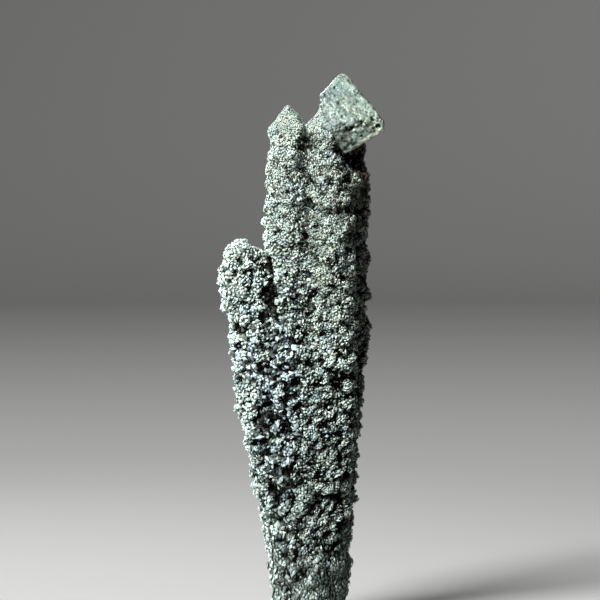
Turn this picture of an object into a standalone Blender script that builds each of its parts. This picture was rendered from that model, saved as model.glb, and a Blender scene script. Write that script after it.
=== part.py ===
"""A druse-covered crystal cluster, built at real size in metres, +Z up.

Five upright fingers are fused side by side and narrow towards a foot that is cut off flat: three in
front, one behind on the right and a shorter ridge at the back. Their skin is lumpy, with slanting ledges
and a few deep pits. A large octahedral crystal caps the right finger and a smaller one points the middle
finger. The whole thing grew as one piece, so it is one closed solid.
The origin is the middle of the foot's cut face.
"""

import math
import random

import bmesh
import bpy
import numpy as np
from mathutils import Euler, Matrix, Vector, noise

MM = 0.001

# ---- driving dimensions, in millimetres unless a name says otherwise -----------------------------

FOOT_OVERRUN = 2.0      # how far the fingers are grown below the cut, before it is made
VOXEL = 0.33            # grid on which the fused fingers are skinned
SKIN_TRIANGLES = 8600   # triangles left in the lumpy skin

# Each finger is a round column: stations (x, y, z, radius) up its axis, ending in a dome.
FINGERS = {
    "left": [
        (-2.25, -1.0, 0.0, 3.9),
        (-2.95, -1.1, 9.0, 3.8),
        (-4.55, -1.2, 19.0, 3.9),
        (-6.45, -1.3, 29.0, 4.1),
        (-8.6, -1.3, 40.0, 4.2),
        (-10.1, -1.2, 50.0, 4.0),
        (-11.2, -1.1, 57.0, 3.8),
        (-11.8, -1.0, 59.0, 4.1),
        (-11.9, -0.9, 63.3, 4.1),
        (-12.3, -0.8, 65.4, 3.2),
        (-12.4, -0.8, 65.6, 3.1),
    ],
    "middle": [
        (0.0, -2.1, 0.0, 4.3),
        (-0.4, -2.5, 12.0, 4.5),
        (-1.6, -3.0, 28.0, 4.7),
        (-3.3, -2.9, 46.0, 4.5),
        (-4.0, -2.3, 60.0, 4.0),
        (-4.2, -1.8, 76.0, 3.7),
        (-4.1, -1.7, 86.0, 3.5),
    ],
    "right": [
        (1.9, -1.7, 0.0, 4.0),
        (2.2, -2.1, 12.0, 4.1),
        (2.9, -2.6, 28.0, 4.5),
        (3.5, -2.7, 46.0, 4.6),
        (3.7, -2.3, 60.0, 4.4),
        (3.6, -1.9, 76.0, 4.3),
        (3.7, -1.7, 86.0, 4.0),
    ],
    "rear": [
        (2.2, 1.9, 0.0, 4.1),
        (2.8, 2.3, 12.0, 4.1),
        (4.2, 3.0, 30.0, 4.2),
        (5.4, 3.3, 42.0, 4.2),
        (6.1, 3.3, 56.0, 4.1),
        (6.3, 2.7, 74.0, 3.9),
        (6.3, 1.8, 84.0, 3.6),
    ],
    "back_ridge": [
        (-2.0, 1.9, 0.0, 4.0),
        (-2.3, 2.4, 14.0, 4.1),
        (-3.5, 3.0, 32.0, 4.3),
        (-4.3, 2.9, 46.0, 4.1),
        (-4.2, 2.1, 58.0, 3.5),
        (-4.0, 1.3, 66.0, 2.7),
    ],
}

# The skin's lumps are knobs with flat facets, grown side by side round every finger.
LUMP_AREA = 7.5         # square millimetres of finger for each lump
LUMP_RADII = (1.5, 2.3)
LUMP_PROUD = (0.15, 0.85)
LUMP_SLIDE = 0.5        # how far a lump may stray from its place in the pattern
LUMP_SUNK = 0.75        # share of its radius that a lump's centre lies below its crown
SEED = 11
GOLDEN_ANGLE = math.radians(137.508)
# Ledges: bands that stand out downwards and break off, slanting up to the right.
LEDGE_PITCH = 3.6
LEDGE_RELIEF = 0.45
LEDGE_SLANT = 0.35
# Pits: (x, z, radius, depth) on the front.
PITS = [
    (4.5, 43.2, 1.3, 1.8),
    (-0.5, 87.0, 1.0, 0.6),
    (-4.1, 35.5, 1.1, 1.4),
    (7.2, 83.2, 1.6, 1.4),
    (6.0, 86.2, 1.6, 1.7),
]

# Large crystals with flat faces. Each facet is a plane (nx, ny, nz, distance from the centre).
CAP_CENTRE = (6.2, -0.3, 89.6)
CAP_FACETS = [
    (0.06, -0.80, 0.60, 5.5),
    (0.00, 0.80, 0.60, 5.4),
    (0.784, 0.0, 0.621, 5.77),
    (-0.732, 0.0, 0.682, 6.70),
    (-1.0, 0.0, 0.0, 4.3),
    (0.0, 0.0, 1.0, 9.25),
    (1.0, 0.0, 0.0, 6.85),
    (0.532, 0.0, -0.847, 4.6),
    (-0.45, -0.86, 0.24, 5.98),
    (0.10, -0.88, -0.46, 5.9),
    (-0.60, -0.42, -0.68, 5.5),
    (0.00, 0.80, -0.60, 5.2),
    (0.0, 0.0, -1.0, 7.0),
]
SHOULDER = ((2.2, -1.8, 88.0), 4.4, 8.0)     # centre, corner radius, turn about Z in degrees
TIP = ((-3.7, -1.7, 89.1), 3.9, 30.0)
SIDE_CRYSTALS = [
    ((-6.5, -2.2, 88.4), 1.5, 30.0),
    ((8.9, 1.2, 80.2), 1.6, 10.0),
]

BLUNT = 0.93            # where a crystal's corner is cut off, as a share of its radius
BLOCK = 40.0            # side of the block that a crystal is cut from

DRUSE_COLOUR = (0.33, 0.38, 0.35, 1.0)
DRUSE_ROUGHNESS = 0.4
DRUSE_METALLIC = 0.6


def clear_scene():
    """Remove whatever the file holds."""
    for obj in list(bpy.data.objects):
        bpy.data.objects.remove(obj, do_unlink=True)


def new_collection(name):
    """A collection linked to the scene."""
    collection = bpy.data.collections.new(name)
    bpy.context.scene.collection.children.link(collection)
    return collection


def evaluated_mesh(obj):
    """A copy of the object's mesh with its modifiers applied."""
    depsgraph = bpy.context.evaluated_depsgraph_get()
    return bpy.data.meshes.new_from_object(obj.evaluated_get(depsgraph))


def knob_mesh():
    """A twenty-sided crystal knob about the origin, its corners at radius 1."""
    form = bmesh.new()
    bmesh.ops.create_icosphere(form, subdivisions=1, radius=1.0)
    mesh = bpy.data.meshes.new("knob")
    form.to_mesh(mesh)
    form.free()
    return mesh


def joined_copies(template, placements):
    """One mesh holding a copy of the template for every placement matrix."""
    corners = [vertex.co.copy() for vertex in template.vertices]
    faces = [tuple(face.vertices) for face in template.polygons]
    all_corners = []
    all_faces = []
    for placement in placements:
        first = len(all_corners)
        all_corners.extend(placement @ corner for corner in corners)
        all_faces.extend(tuple(first + index for index in face) for face in faces)
    mesh = bpy.data.meshes.new(template.name + "_copies")
    mesh.from_pydata(all_corners, [], all_faces)
    return mesh


def add_finger(form, stations, collection):
    """A finger's round column, as a bevelled curve with a dome on its end."""
    curve = bpy.data.curves.new("finger_axis", "CURVE")
    curve.dimensions = "3D"
    curve.bevel_depth = 1.0
    curve.bevel_resolution = 5
    curve.use_fill_caps = True
    foot = stations[0]
    points = [(foot[0], foot[1], foot[2] - FOOT_OVERRUN, foot[3])] + stations
    spline = curve.splines.new("POLY")
    spline.points.add(len(points) - 1)
    for point, (x, y, z, radius) in zip(spline.points, points):
        point.co = (x * MM, y * MM, z * MM, 1.0)
        point.radius = radius * MM
    axis = bpy.data.objects.new("finger_axis", curve)
    collection.objects.link(axis)
    tube = evaluated_mesh(axis)
    form.from_mesh(tube)
    bpy.data.meshes.remove(tube)
    bpy.data.objects.remove(axis, do_unlink=True)
    x, y, z, radius = stations[-1]
    bmesh.ops.create_uvsphere(
        form, u_segments=24, v_segments=12, radius=radius * MM,
        matrix=Matrix.Translation((x * MM, y * MM, z * MM)),
    )


def finger_spiral(stations):
    """Places and outward directions, evenly spaced round a finger and over its dome."""
    heights = [station[2] for station in stations]
    z = -FOOT_OVERRUN
    turn = 0.0
    while z < heights[-1]:
        x, y, radius = (np.interp(z, heights, [s[k] for s in stations]) for k in (0, 1, 3))
        out = Vector((math.cos(turn), math.sin(turn), 0.0))
        yield Vector((x, y, z)) + out * radius, out
        z += LUMP_AREA / (math.tau * radius)
        turn += GOLDEN_ANGLE
    x, y, z, radius = stations[-1]
    count = round(math.tau * radius * radius / LUMP_AREA)
    for index in range(count):
        lift = (index + 0.5) / count
        reach = math.sqrt(1.0 - lift * lift)
        out = Vector((math.cos(turn) * reach, math.sin(turn) * reach, lift))
        yield Vector((x, y, z)) + out * radius, out
        turn += GOLDEN_ANGLE


def lump_placements(stations, chance):
    """A size, turn and place for each lump crystal on one finger."""
    for place, out in finger_spiral(stations):
        radius = chance.uniform(*LUMP_RADII)
        proud = chance.uniform(*LUMP_PROUD)
        slide = Vector([chance.uniform(-LUMP_SLIDE, LUMP_SLIDE) for _ in range(3)])
        turn = Euler([chance.uniform(0.0, math.tau) for _ in range(3)])
        centre = place + slide + out * (proud - radius * LUMP_SUNK)
        yield (
            Matrix.Translation(centre * MM) @ turn.to_matrix().to_4x4()
            @ Matrix.Scale(radius * MM, 4)
        )


def finger_blanks(collection):
    """One mesh object holding every finger and the lumps that stand on it."""
    chance = random.Random(SEED)
    form = bmesh.new()
    placements = []
    for stations in FINGERS.values():
        add_finger(form, stations, collection)
        placements.extend(lump_placements(stations, chance))
    bmesh.ops.remove_doubles(form, verts=form.verts, dist=1e-7)
    form.from_mesh(joined_copies(knob_mesh(), placements))
    mesh = bpy.data.meshes.new("finger_blanks")
    form.to_mesh(mesh)
    form.free()
    obj = bpy.data.objects.new("finger_blanks", mesh)
    collection.objects.link(obj)
    return obj


def ledge_height(place):
    """Broken bands: each stands out sharply at its underside and fades upwards."""
    wander = noise.noise(place / (6.0 * MM)) * 2.4
    rise = place.z / MM - LEDGE_SLANT * place.x / MM + wander
    phase = (rise / LEDGE_PITCH) % 1.0
    patch = min(1.0, max(0.0, 0.6 + noise.noise(place / (9.0 * MM) + Vector((7.0, 3.0, 1.0)))))
    return (0.5 - phase) * patch


def pit_depth(place):
    """How far the front is pushed in by the pits."""
    depth = 0.0
    if place.y < 0.0:
        for x, z, radius, deepest in PITS:
            away = math.hypot(place.x / MM - x, place.z / MM - z) / radius
            depth += deepest * math.exp(-away * away)
    return depth


def voxel_skin(obj, name, collection):
    """The outer skin of everything in obj, as one closed mesh in a new object."""
    remesh = obj.modifiers.new("skin", "REMESH")
    remesh.mode = "VOXEL"
    remesh.voxel_size = VOXEL * MM
    skin = bpy.data.objects.new(name, evaluated_mesh(obj))
    collection.objects.link(skin)
    bpy.data.objects.remove(obj, do_unlink=True)
    return skin


def roughen(obj):
    """Push the skin out and in along its normals: ledges and pits."""
    mesh = obj.data
    moved = []
    for vertex in mesh.vertices:
        place = vertex.co
        relief = LEDGE_RELIEF * ledge_height(place) - pit_depth(place)
        moved.append(place + vertex.normal * (relief * MM))
    for vertex, place in zip(mesh.vertices, moved):
        vertex.co = place
    mesh.update()


def cut_foot(cluster):
    """Cut the fingers off flat at z = 0 and close the cut."""
    form = bmesh.new()
    form.from_mesh(cluster.data)
    cut = bmesh.ops.bisect_plane(
        form, geom=form.verts[:] + form.edges[:] + form.faces[:], dist=1e-9,
        plane_co=(0.0, 0.0, 0.0), plane_no=(0.0, 0.0, 1.0), clear_inner=True,
    )
    rim = [item for item in cut["geom_cut"] if isinstance(item, bmesh.types.BMEdge)]
    bmesh.ops.contextual_create(form, geom=rim)
    form.to_mesh(cluster.data)
    form.free()


def facet_crystal(name, centre, facets, collection):
    """A closed crystal: a block cut by one plane for each facet."""
    form = bmesh.new()
    bmesh.ops.create_cube(form, size=BLOCK * MM)
    for nx, ny, nz, distance in facets:
        outward = Vector((nx, ny, nz)).normalized()
        cut = bmesh.ops.bisect_plane(
            form, geom=form.verts[:] + form.edges[:] + form.faces[:], dist=1e-9,
            plane_co=outward * (distance * MM), plane_no=outward, clear_outer=True,
        )
        rim = [item for item in cut["geom_cut"] if isinstance(item, bmesh.types.BMEdge)]
        bmesh.ops.contextual_create(form, geom=rim)
    bmesh.ops.recalc_face_normals(form, faces=form.faces)
    mesh = bpy.data.meshes.new(name)
    form.to_mesh(mesh)
    form.free()
    return cutter(name, mesh, centre, collection)


def octahedral_facets(radius, turn, blunt):
    """The eight faces of an octahedron with upright axis, and planes that blunt its corners."""
    slant = 1.0 / math.sqrt(3.0)
    facets = []
    for quarter in range(4):
        angle = math.radians(turn + 45.0 + 90.0 * quarter)
        x = math.cos(angle) * math.sqrt(2.0) * slant
        y = math.sin(angle) * math.sqrt(2.0) * slant
        facets.append((x, y, slant, radius * slant))
        facets.append((x, y, -slant, radius * slant))
        corner = math.radians(turn + 90.0 * quarter)
        facets.append((math.cos(corner), math.sin(corner), 0.0, radius * blunt))
    facets.append((0.0, 0.0, 1.0, radius * blunt))
    return facets


def cutter(name, mesh, centre, collection):
    """An object that shapes the cluster and isn't part of it."""
    obj = bpy.data.objects.new(name, mesh)
    obj.location = Vector(centre) * MM
    obj.hide_render = True
    obj.display_type = "WIRE"
    collection.objects.link(obj)
    return obj


def fuse(cluster, crystal):
    """Join a crystal to the cluster as one solid."""
    union = cluster.modifiers.new("fuse_" + crystal.name, "BOOLEAN")
    union.operation = "UNION"
    union.solver = "EXACT"
    union.object = crystal


def stone_material():
    """Pale grey-green druse with a metallic glint."""
    material = bpy.data.materials.new("druse")
    material.use_nodes = True
    shader = material.node_tree.nodes["Principled BSDF"]
    shader.inputs["Base Color"].default_value = DRUSE_COLOUR
    shader.inputs["Roughness"].default_value = DRUSE_ROUGHNESS
    shader.inputs["Metallic"].default_value = DRUSE_METALLIC
    return material


def build():
    """Make the whole object."""
    clear_scene()
    parts = new_collection("quartz_cluster")
    cutters = new_collection("cutters")
    skin = voxel_skin(finger_blanks(cutters), "skin", cutters)
    roughen(skin)
    skin = voxel_skin(skin, "skin", cutters)
    triangles = sum(len(face.vertices) - 2 for face in skin.data.polygons)
    thin = skin.modifiers.new("thin", "DECIMATE")
    thin.ratio = SKIN_TRIANGLES / triangles
    cluster = bpy.data.objects.new("crystal_cluster", evaluated_mesh(skin))
    bpy.data.objects.remove(skin, do_unlink=True)
    parts.objects.link(cluster)
    cut_foot(cluster)
    fuse(cluster, facet_crystal("cap", CAP_CENTRE, CAP_FACETS, cutters))
    for name, (centre, radius, turn) in zip(
        ("shoulder", "tip", "side_left", "side_right"), (SHOULDER, TIP, *SIDE_CRYSTALS)
    ):
        facets = octahedral_facets(radius, turn, BLUNT)
        fuse(cluster, facet_crystal(name, centre, facets, cutters))
    cluster.data.materials.clear()
    cluster.data.materials.append(stone_material())


build()
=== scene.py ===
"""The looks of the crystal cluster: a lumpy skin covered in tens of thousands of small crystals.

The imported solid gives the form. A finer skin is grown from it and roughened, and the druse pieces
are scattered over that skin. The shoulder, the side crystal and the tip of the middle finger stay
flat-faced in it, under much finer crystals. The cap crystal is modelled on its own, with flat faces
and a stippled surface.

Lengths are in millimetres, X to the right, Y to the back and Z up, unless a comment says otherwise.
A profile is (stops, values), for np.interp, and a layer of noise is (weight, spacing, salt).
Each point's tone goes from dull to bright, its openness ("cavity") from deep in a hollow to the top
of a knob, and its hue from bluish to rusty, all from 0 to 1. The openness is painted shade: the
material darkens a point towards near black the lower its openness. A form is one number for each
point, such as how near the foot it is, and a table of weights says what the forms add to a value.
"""

import math

import bmesh
import bpy
import numpy as np
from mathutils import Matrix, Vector, kdtree, noise


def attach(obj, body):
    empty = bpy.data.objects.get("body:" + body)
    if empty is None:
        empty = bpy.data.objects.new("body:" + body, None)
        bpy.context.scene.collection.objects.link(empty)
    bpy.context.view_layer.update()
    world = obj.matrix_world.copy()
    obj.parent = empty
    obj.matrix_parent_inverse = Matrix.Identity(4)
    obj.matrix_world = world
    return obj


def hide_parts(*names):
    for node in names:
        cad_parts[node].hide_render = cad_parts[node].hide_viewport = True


MM = 0.001  # metres
NODE = "crystal_cluster"
BODY = "root"
SEED = 7
X, Z = 0, 2  # the axes of the front

# ---- the photograph's frame ----
PHOTO_SIZE = 600  # pixels each way
MM_PER_PIXEL = 0.18
CENTRE_COLUMN = 310  # the pixel column that X = 0 falls on
FOOT_BELOW_EDGE = 4.0  # of foot below the picture's lower edge
CAMERA_RISE = 3.0  # degrees that the camera looks down
CAMERA_AWAY = 600.0
SENSOR_WIDTH = 36.0
NEAREST_SEEN = 10.0

# ---- floor and lamps ----
LIT_HEIGHT = 78.0  # the lamps point at this height on the cluster
# Softboxes: name, place, side, power in watts and spread of the light in degrees.
SOFTBOXES = [
    ("key", (-832.0, -924.0, 917.0), 600.0, 30.0, 90.0),
    ("back", (-200.0, 380.0, 260.0), 220.0, 0.24, 40.0),
    ("fill", (420.0, -260.0, 120.0), 300.0, 0.03, 100.0),
]
SURROUND_COLOUR = (0.02, 0.02, 0.022, 1.0)
FLOOR_COLOUR = (0.18, 0.18, 0.177, 1.0)
FLOOR_ROUGHNESS = 0.8
FLOOR_FLAT = 1100.0  # radius of the floor's flat part
FLOOR_CURVE = 500.0  # radius of the curve that it rises in
FLOOR_HEIGHT = 1200.0
FLOOR_CURVE_POINTS = 13
FLOOR_TURN_STEPS = 96
FLOOR_MERGE = 0.1  # points nearer together than this are joined

# ---- the front's forms, placed where the photograph has them ----
# Hollows in the front, dug in and darkened with painted shade: runs of (x, z, radius, depth);
# a single point is a pit.
HOLLOWS = [
    # The valley beside the left finger, and the crevice down the middle of the body.
    [(-7.6, 65.4, 0.6, 0.9), (-7.2, 61.8, 0.7, 1.0), (-7.2, 58.4, 0.9, 1.1),
     (-6.4, 55.2, 0.7, 0.8)],
    [(-8.8, 55.4, 0.5, 0.6), (-7.2, 55.2, 0.5, 0.6)],
    [(-8.2, 51.9, 0.4, 0.6), (-6.1, 52.1, 0.5, 0.6), (-4.7, 52.3, 0.5, 0.5)],
    [(-6.8, 45.8, 0.4, 0.5), (-3.6, 45.8, 0.4, 0.5)],
    [(-4.5, 43.6, 0.4, 0.6), (-4.3, 39.5, 0.45, 0.7), (-4.1, 36.0, 0.5, 0.8),
     (-4.4, 34.0, 0.5, 0.7)],
    [(-6.0, 35.3, 0.35, 0.35), (-4.3, 34.2, 0.5, 0.6), (-2.8, 34.6, 0.35, 0.4)],
    # Rings round the left finger.
    [(-15.5, 63.3, 0.45, 0.6), (-13.9, 62.9, 0.5, 0.65), (-12.1, 63.3, 0.45, 0.5),
     (-9.0, 63.3, 0.4, 0.5)],
    [(-11.9, 61.8, 0.3, 0.4), (-12.2, 60.7, 0.35, 0.5), (-10.4, 59.8, 0.4, 0.5)],
    [(-13.9, 57.7, 0.4, 0.4), (-11.5, 57.7, 0.4, 0.45), (-9.4, 57.6, 0.35, 0.5),
     (-8.3, 57.8, 0.4, 0.6)],
    [(-14.3, 54.4, 0.5, 0.5), (-12.8, 52.6, 0.6, 0.6)],
    [(-16.2, 65.3, 0.45, 0.6), (-14.9, 65.7, 0.40, 0.45)],
    [(-13.9, 65.5, 0.35, 0.45), (-11.6, 65.1, 0.4, 0.5), (-9.4, 65.4, 0.4, 0.5)],
    # The left side of the body.
    [(-9.8, 45.3, 0.4, 0.5), (-8.5, 45.0, 0.4, 0.5)],
    [(-9.6, 43.1, 0.35, 0.4), (-8.0, 41.6, 0.35, 0.4), (-8.9, 41.4, 0.4, 0.5)],
    [(-10.2, 37.9, 0.35, 0.4), (-8.6, 38.8, 0.4, 0.5)],
    [(-12.8, 36.9, 0.35, 0.4), (-11.0, 36.3, 0.4, 0.6), (-9.2, 37.0, 0.4, 0.5)],
    [(-10.6, 32.2, 0.35, 0.4), (-9.2, 32.3, 0.45, 0.6), (-7.8, 33.4, 0.35, 0.5)],
    [(-9.4, 29.6, 0.5, 0.5)],
    # The pit on the right and the slanting clefts below it.
    [(3.9, 43.6, 0.5, 0.8), (4.7, 42.9, 0.8, 1.2), (6.0, 44.4, 0.8, 1.0), (8.0, 45.0, 0.5, 0.6)],
    [(3.0, 38.8, 0.25, 0.4), (4.2, 40.3, 0.3, 0.5), (4.9, 41.3, 0.3, 0.5)],
    [(3.6, 36.6, 0.3, 0.4), (4.8, 37.7, 0.35, 0.5), (5.8, 39.2, 0.35, 0.5)],
    [(1.8, 35.5, 0.4, 0.5), (4.0, 35.6, 0.35, 0.4)],
    [(3.8, 33.3, 0.3, 0.5), (5.7, 34.6, 0.35, 0.6), (7.2, 35.4, 0.4, 0.6), (8.0, 36.2, 0.4, 0.6)],
    [(4.2, 31.0, 0.3, 0.4), (5.2, 32.8, 0.4, 0.5)],
    [(-2.7, 46.1, 0.3, 0.4), (-0.2, 45.0, 0.3, 0.4), (1.4, 44.8, 0.3, 0.3)],
    [(1.9, 47.9, 0.4, 0.4)],
    [(4.7, 49.2, 0.4, 0.5), (6.3, 49.7, 0.4, 0.5)],
    # Shadowed ledges of the lower body and the foot.
    [(-6.0, 26.2, 0.4, 0.6), (-4.6, 27.4, 0.5, 0.7), (-3.0, 28.6, 0.5, 0.7),
     (-2.2, 30.0, 0.4, 0.5)],
    [(-0.4, 28.0, 0.4, 0.5), (0.6, 27.9, 0.4, 0.5)],
    [(-3.1, 25.1, 0.35, 0.5), (-1.8, 25.4, 0.4, 0.6), (-1.0, 26.3, 0.35, 0.5)],
    [(4.6, 26.2, 0.4, 0.4), (6.1, 26.1, 0.5, 0.7), (7.6, 26.9, 0.5, 0.7)],
    [(-6.6, 22.1, 0.35, 0.5), (-4.6, 22.3, 0.35, 0.5), (-3.0, 22.8, 0.35, 0.4)],
    [(0.4, 21.2, 0.35, 0.4), (1.8, 22.0, 0.45, 0.7), (4.0, 23.3, 0.4, 0.6), (5.2, 23.3, 0.4, 0.6)],
    [(-7.2, 19.6, 0.35, 0.4), (-5.2, 18.5, 0.4, 0.6), (-3.8, 18.3, 0.35, 0.5),
     (-1.4, 19.2, 0.4, 0.6), (-0.4, 19.8, 0.3, 0.4)],
    [(1.6, 16.7, 0.35, 0.4), (3.4, 16.3, 0.4, 0.7), (5.0, 16.8, 0.45, 0.7), (6.4, 18.0, 0.5, 0.7)],
    [(0.4, 13.0, 0.35, 0.4), (2.2, 12.9, 0.4, 0.6), (4.0, 13.4, 0.4, 0.6), (4.9, 14.5, 0.4, 0.6)],
    [(-4.0, 8.5, 0.3, 0.35), (-2.6, 8.0, 0.35, 0.5), (-1.3, 8.9, 0.35, 0.4),
     (0.2, 11.2, 0.35, 0.4)],
    # The middle and right fingers, and the valley between them.
    [(-2.6, 58.7, 0.35, 0.6), (-1.2, 58.9, 0.4, 0.6)],
    [(-4.0, 60.7, 0.3, 0.4), (-2.8, 60.4, 0.35, 0.4)],
    [(-0.4, 59.6, 0.25, 0.35), (0.4, 59.9, 0.25, 0.35)],
    [(2.8, 60.9, 0.4, 0.5), (4.4, 60.5, 0.4, 0.5)],
    [(3.8, 62.6, 0.3, 0.4), (6.1, 62.6, 0.35, 0.5)],
    [(-2.3, 53.3, 0.35, 0.5), (-1.2, 52.4, 0.4, 0.5)],
    [(4.9, 57.4, 0.3, 0.4), (6.3, 57.6, 0.35, 0.5)],
    [(-1.8, 64.9, 0.3, 0.4), (-1.6, 63.8, 0.3, 0.35)],
    [(4.9, 66.2, 0.3, 0.4), (5.3, 65.3, 0.3, 0.4)],
    [(-0.9, 86.8, 0.5, 0.35), (0.1, 85.9, 0.5, 0.35)],
    [(-2.8, 85.5, 0.5, 0.3), (-1.5, 84.9, 0.5, 0.35)],
    [(2.9, 87.3, 0.5, 0.5), (3.2, 86.4, 0.4, 0.5)],
    [(6.0, 85.8, 0.3, 0.6), (5.6, 84.4, 0.6, 0.8), (7.6, 83.4, 1.0, 1.0), (9.6, 81.6, 1.1, 0.9)],
    [(4.2, 81.9, 0.3, 0.4), (5.8, 81.6, 0.4, 0.5), (7.0, 81.2, 0.4, 0.5)],
    [(6.2, 80.4, 0.4, 0.6), (7.0, 79.5, 0.45, 0.7)],
    [(-2.6, 80.4, 0.3, 0.3), (-1.4, 79.6, 0.35, 0.3)],
    [(-0.4, 79.0, 0.3, 0.4), (0.4, 79.0, 0.3, 0.35)],
    [(-2.5, 76.9, 0.3, 0.3), (-1.4, 75.7, 0.3, 0.3), (-0.3, 76.2, 0.3, 0.25),
     (0.5, 74.2, 0.3, 0.25)],
    [(-2.0, 72.5, 0.4, 0.45), (-0.8, 71.4, 0.4, 0.45), (0.4, 70.2, 0.35, 0.4)],
    [(5.2, 78.4, 0.3, 0.4), (6.4, 76.6, 0.4, 0.45)],
    [(4.9, 73.8, 0.4, 0.4), (6.2, 74.3, 0.45, 0.5), (7.6, 73.6, 0.5, 0.6)],
]
# Knobs and dents in the front or at its left edge: (x, z, radius, height).
KNOB = (8.5, 79.8, 0.9, 0.8)
KNOB_REACH = 1.2  # how far its larger crystals, with painted light, reach, in radii
SWELLINGS = [
    KNOB, (-8.2, 78.7, 0.6, 0.3), (-8.3, 72.2, 0.6, 0.15), (-0.9, 54.9, 0.8, 0.45),
    (-1.8, 88.3, 0.8, 0.6), (-8.0, 86.4, 1.6, -0.7), (-8.3, 82.8, 1.4, -0.5),
    (-8.9, 77.0, 1.5, -0.5), (-9.1, 70.4, 1.4, -0.6), (-17.0, 63.6, 1.3, -0.5),
    (-15.9, 54.6, 1.2, -0.6), (-15.6, 50.5, 1.5, -0.7), (-10.2, 22.0, 1.2, -0.6),
]
SWELLINGS_TO_Y = 1.0
# Patches with dull brown crystals between the bright ones: (x, z, half width, half height, share).
MOTTLES = [
    (-1.3, 85.9, 1.5, 1.8, 0.9), (-1.1, 80.1, 1.4, 1.0, 0.5), (-1.3, 76.5, 1.2, 0.9, 0.6),
    (-0.7, 72.4, 1.0, 1.8, 0.5), (-2.2, 68.4, 1.8, 1.1, 0.7), (5.9, 81.2, 1.9, 1.9, 0.7),
    (6.3, 77.4, 1.4, 1.0, 0.6), (6.1, 74.4, 1.7, 1.0, 0.6), (7.2, 69.5, 2.0, 1.5, 0.9),
    (3.8, 65.2, 1.4, 1.4, 0.5), (5.0, 61.8, 1.8, 1.5, 0.7), (1.4, 66.3, 1.4, 1.0, 0.4),
    (0.6, 87.2, 1.1, 1.3, 0.6),
]
# Patches of painted light and painted shade that make the crystals paler or darker: (x, z, half
# width, half height, gain).
SHADES = [
    (-0.9, 55.1, 1.1, 1.5, 0.9), (1.4, 53.8, 1.0, 0.9, 0.5), (1.3, 59.6, 1.1, 1.0, 0.4),
    (3.6, 51.0, 1.2, 0.9, -0.5), (0.3, 41.2, 2.0, 1.5, 0.5), (-4.8, 38.5, 2.6, 3.5, 0.25),
    (1.3, 26.6, 1.3, 0.9, 0.6), (-5.0, 26.9, 1.0, 0.8, -0.5), (1.2, 76.0, 1.0, 10.0, -0.4),
    (-1.9, 77.0, 0.8, 9.0, 0.35), (0.9, 86.6, 1.3, 2.0, -0.5), (-1.4, 89.2, 0.8, 1.2, 0.4),
    (-2.2, 9.0, 2.6, 6.5, -0.45), (3.2, 10.0, 2.2, 7.0, -0.6), (-7.3, 12.0, 1.3, 9.0, 1.0),
    (1.0, 88.3, 1.3, 1.8, -0.6), (2.7, 87.8, 1.1, 1.9, -0.7), (-1.8, 88.2, 0.9, 1.0, 0.8),
    (-2.9, 35.4, 1.0, 0.9, -0.7), (-2.9, 30.4, 1.0, 1.3, -0.6), (-5.0, 33.2, 1.0, 0.8, 0.4),
    (1.0, 36.5, 1.3, 1.6, 0.3), (-0.6, 24.6, 1.7, 1.6, 0.35), (1.2, 20.8, 1.1, 0.9, 0.45),
    (-0.2, 31.5, 1.4, 1.2, 0.3), (3.2, 59.5, 1.1, 3.5, -0.5), (-8.6, 62.0, 1.0, 3.0, 0.2),
    (-10.4, 30.0, 1.2, 12.0, 0.3), (-3.4, 13.6, 1.6, 1.2, -0.4), (1.0, 42.0, 1.2, 0.9, 0.5),
]
PATCHES_TO_Y = 0.5
SHADE_OF_TONE = 0.35  # how much a gain of one adds to the tone
SHADE_OF_OPENNESS = 0.20

rng = np.random.default_rng(SEED)


# ---- small tools ----

def unit(vectors):
    """The vectors at length one."""
    return vectors / np.maximum(np.linalg.norm(vectors, axis=1, keepdims=True), 1e-12)


def between(low, high, share):
    """The value at a share of the way from low to high."""
    return low + (high - low) * share


def partly(values, base, gain):
    """A share that grows with the values, kept between zero and one."""
    return np.clip(base + gain * values, 0.0, 1.0)


def weighted(weights, forms):
    """The sum of the forms that have a weight, each times its weight."""
    return sum(weight * forms[name] for name, weight in weights.items())


def faded(places, table):
    """The table's forms: for each, the product of its profiles along X and Z."""
    return {
        name: np.prod([np.interp(places[:, axis], *profile) for axis, profile in along.items()], 0)
        for name, along in table.items()
    }


def pick(which, *columns):
    """The chosen rows of each column."""
    return [column[which] for column in columns]


def rows_of(items, name, width, kind=np.float32):
    """What Blender keeps under the name for each item, as rows."""
    numbers = np.empty(len(items) * width, kind)
    items.foreach_get(name, numbers)
    return numbers.reshape(-1, width)


def points_of(mesh):
    """The mesh's points."""
    return rows_of(mesh.vertices, "co", 3).astype(float) / MM


def normals_of(mesh):
    """The mesh's point normals."""
    return rows_of(mesh.vertices, "normal", 3).astype(float)


def set_points(mesh, places):
    """Move the mesh's points to places."""
    mesh.vertices.foreach_set("co", (places * MM).astype(np.float32).ravel())
    mesh.update()


def edges_of(mesh):
    """The mesh's edges as pairs of point numbers."""
    return rows_of(mesh.edges, "vertices", 2, np.int32)


def relaxed(values, pairs, rounds):
    """Values averaged with their neighbours along the edges, round after round."""
    count = np.bincount(pairs.ravel(), minlength=len(values)).astype(float)
    count = np.maximum(count, 1.0)[:, None]
    for _ in range(rounds):
        total = np.empty_like(values)
        for axis in range(values.shape[1]):
            column = values[:, axis]
            total[:, axis] = (
                np.bincount(pairs[:, 0], column[pairs[:, 1]], len(values))
                + np.bincount(pairs[:, 1], column[pairs[:, 0]], len(values))
            )
        values = 0.5 * values + 0.5 * total / count
    return values


CELL_FACTORS = (73856093, 19349663, 83492791)  # of a spatial hash
SALT_FACTOR = 2654435761
SCRAMBLING = ((15, 2246822519), (13, 3266489917))  # shifts and factors
LOW_32_BITS = 0xFFFFFFFF
LOW_16_BITS = 0xFFFF
FAR = 9.0  # further than any nearest centre, in spacings
SALT_STEPS = (1.0, 2.7, -1.3)  # how far a salt moves the noise along each axis


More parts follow.
